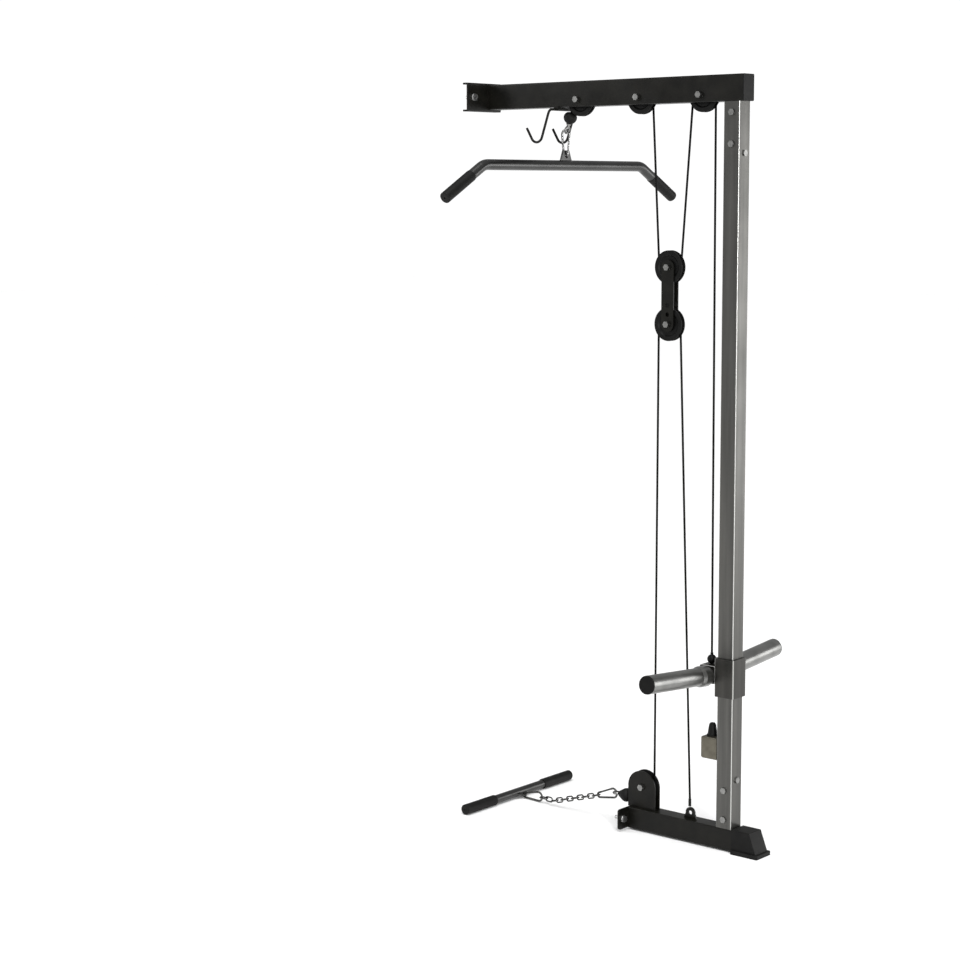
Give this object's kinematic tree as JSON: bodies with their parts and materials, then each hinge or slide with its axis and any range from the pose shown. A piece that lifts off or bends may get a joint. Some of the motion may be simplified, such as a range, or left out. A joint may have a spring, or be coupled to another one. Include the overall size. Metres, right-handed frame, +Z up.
{
  "type": "lat pulldown machine",
  "caption": "Rack-mounted lat pulldown and low row tower with cable pulleys, a weight carriage, a lat bar and a chained row handle.",
  "frame": {"origin": "centre of the rear foot's face on the floor", "axes": "+Z up, -Y towards the rack and the user, +X to one side"},
  "size_m": [1.0352, 0.973, 2.092],
  "materials": {
    "powder_coat": "satin black powder coat",
    "satin_steel": "satin",
    "zinc_steel": "bright zinc",
    "chrome_steel": "polished",
    "dark_metal": "satin dark grey",
    "black_nylon": "matte",
    "black_rubber": "matte",
    "cable_jacket": "semi-gloss"
  },
  "bodies": {
    "frame": {"top_beam": "powder_coat", "top_beam_cap": "black_nylon", "top_bracket": "powder_coat", "bottom_beam": "powder_coat", "bottom_bracket": "powder_coat", "rack_bolts": "zinc_steel", "upright": "satin_steel", "upright_stubs": "powder_coat", "upright_bolts": "zinc_steel", "rear_foot": "black_rubber", "bar_hooks": "zinc_steel", "bumper_stub": "satin_steel", "bumper": "black_rubber", "cable_anchor_tab": "powder_coat", "cable_anchor_loop": "zinc_steel", "beam_axles": "zinc_steel", "beam_spacers": "zinc_steel", "low_pulley_plates": "powder_coat", "low_pulley_axle": "zinc_steel", "cable_lat_run": "cable_jacket", "cable_carriage_run": "cable_jacket", "cable_block_runs": "cable_jacket", "cable_row_run": "cable_jacket", "cable_frame_bends": "cable_jacket"},
    "front_wheel": {"front_pulley": "black_nylon"},
    "middle_wheel": {"middle_pulley": "black_nylon"},
    "rear_wheel": {"rear_pulley": "black_nylon"},
    "low_wheel": {"low_pulley": "black_nylon"},
    "block": {"block_plates": "powder_coat", "block_axles": "zinc_steel", "cable_block_bends": "cable_jacket"},
    "block_upper_wheel": {"block_upper_pulley": "black_nylon"},
    "block_lower_wheel": {"block_lower_pulley": "black_nylon"},
    "carriage": {"carriage_sleeve": "satin_steel", "carriage_glides": "black_nylon", "carriage_crossbar": "powder_coat", "weight_posts": "chrome_steel", "post_collars": "chrome_steel", "post_caps": "black_nylon", "carriage_cable_ball": "black_nylon"},
    "lat_stop": {"lat_stop_ball": "black_rubber", "lat_eye": "chrome_steel"},
    "lat_hook": {"lat_carabiner": "chrome_steel"},
    "lat_hook_gate": {"lat_gate": "chrome_steel"},
    "lat_bar": {"lat_bar_tube": "dark_metal", "lat_bar_lug": "dark_metal", "lat_bar_grips": "black_rubber"},
    "row_stop": {"row_stop_ball": "black_rubber", "row_eye": "chrome_steel"},
    "row_chain": {"row_upper_carabiner": "chrome_steel", "row_chain_links": "zinc_steel", "row_lower_carabiner": "chrome_steel"},
    "row_upper_hook_gate": {"row_upper_gate": "chrome_steel"},
    "row_lower_hook_gate": {"row_lower_gate": "chrome_steel"},
    "row_handle": {"row_handle_bar": "dark_metal", "row_handle_lug": "dark_metal", "row_handle_grips": "black_rubber"}
  },
  "joints": [
    {"name": "carriage_slide", "type": "slide", "parent": "frame", "child": "carriage", "axis": [0, 0, 1], "range_m": [0, 1.1], "deforming": ["cable_carriage_run"]},
    {"name": "lat_pull", "type": "slide", "parent": "frame", "child": "lat_stop", "axis": [0, 0, -1], "range_m": [0, 1.1], "deforming": ["cable_lat_run"]},
    {"name": "front_pulley_spin", "type": "hinge", "parent": "frame", "child": "front_wheel", "pos_m": [0, -0.585, 2.038], "axis": [1, 0, 0], "continuous": true},
    {"name": "middle_pulley_spin", "type": "hinge", "parent": "frame", "child": "middle_wheel", "pos_m": [0, -0.379, 2.038], "axis": [1, 0, 0], "continuous": true},
    {"name": "rear_pulley_spin", "type": "hinge", "parent": "frame", "child": "rear_wheel", "pos_m": [0, -0.175, 2.038], "axis": [1, 0, 0], "continuous": true},
    {"name": "low_pulley_spin", "type": "hinge", "parent": "frame", "child": "low_wheel", "pos_m": [0, -0.357, 0.125], "axis": [1, 0, 0], "continuous": true},
    {"name": "block_slide", "type": "slide", "parent": "frame", "child": "block", "axis": [0, 0, -1], "range_m": [0, 0.5], "deforming": ["cable_block_runs"]},
    {"name": "block_upper_pulley_spin", "type": "hinge", "parent": "block", "child": "block_upper_wheel", "pos_m": [0, -0.282, 1.5825], "axis": [1, 0, 0], "continuous": true},
    {"name": "block_lower_pulley_spin", "type": "hinge", "parent": "block", "child": "block_lower_wheel", "pos_m": [0, -0.282, 1.4285], "axis": [1, 0, 0], "continuous": true},
    {"name": "row_pull", "type": "slide", "parent": "frame", "child": "row_stop", "axis": [0, -1, 0], "range_m": [0, 1], "deforming": ["cable_row_run"]},
    {"name": "lat_swivel", "type": "hinge", "parent": "lat_stop", "child": "lat_hook", "pos_m": [0, -0.63684, 1.9563], "axis": [0, 0, 1], "range_deg": [-20, 20]},
    {"name": "bar_rock", "type": "hinge", "parent": "lat_hook", "child": "lat_bar", "pos_m": [0, -0.642, 1.8832], "axis": [0, 1, 0], "range_deg": [-12, 12]},
    {"name": "lat_gate_swing", "type": "hinge", "parent": "lat_hook", "child": "lat_hook_gate", "pos_m": [0, -0.63362, 1.9022], "axis": [-1, 0, 0], "range_deg": [0, 18], "stiffness_Nm_per_rad": 0.05},
    {"name": "chain_lift", "type": "hinge", "parent": "row_stop", "child": "row_chain", "pos_m": [0, -0.453, 0.089], "axis": [-0.9976, 0.0698, 0], "range_deg": [0, 40]},
    {"name": "row_upper_gate_swing", "type": "hinge", "parent": "row_chain", "child": "row_upper_hook_gate", "pos_m": [-0.00384, -0.50795, 0.08118], "axis": [-0.9976, 0.0698, 0], "range_deg": [0, 18], "stiffness_Nm_per_rad": 0.05},
    {"name": "row_lower_gate_swing", "type": "hinge", "parent": "row_chain", "child": "row_lower_hook_gate", "pos_m": [-0.02413, -0.79809, 0.02027], "axis": [-0.9976, 0.0698, 0], "range_deg": [0, 18], "stiffness_Nm_per_rad": 0.05},
    {"name": "handle_turn", "type": "hinge", "parent": "row_chain", "child": "row_handle", "pos_m": [-0.02538, -0.816, 0.0117], "axis": [0, 0, 1], "range_deg": [-20, 20]}
  ],
  "couplings": [
    {"joint": "lat_pull", "follows": "carriage_slide", "ratio": 1},
    {"joint": "front_pulley_spin", "follows": "carriage_slide", "rad_per_m": 27.778},
    {"joint": "middle_pulley_spin", "follows": "carriage_slide", "rad_per_m": 27.778},
    {"joint": "rear_pulley_spin", "follows": "carriage_slide", "rad_per_m": 27.778},
    {"joint": "block_upper_pulley_spin", "follows": "carriage_slide", "rad_per_m": -27.778},
    {"joint": "block_slide", "follows": "row_pull", "ratio": 0.5},
    {"joint": "low_pulley_spin", "follows": "row_pull", "rad_per_m": -27.778},
    {"joint": "block_lower_pulley_spin", "follows": "row_pull", "rad_per_m": 13.889}
  ]
}
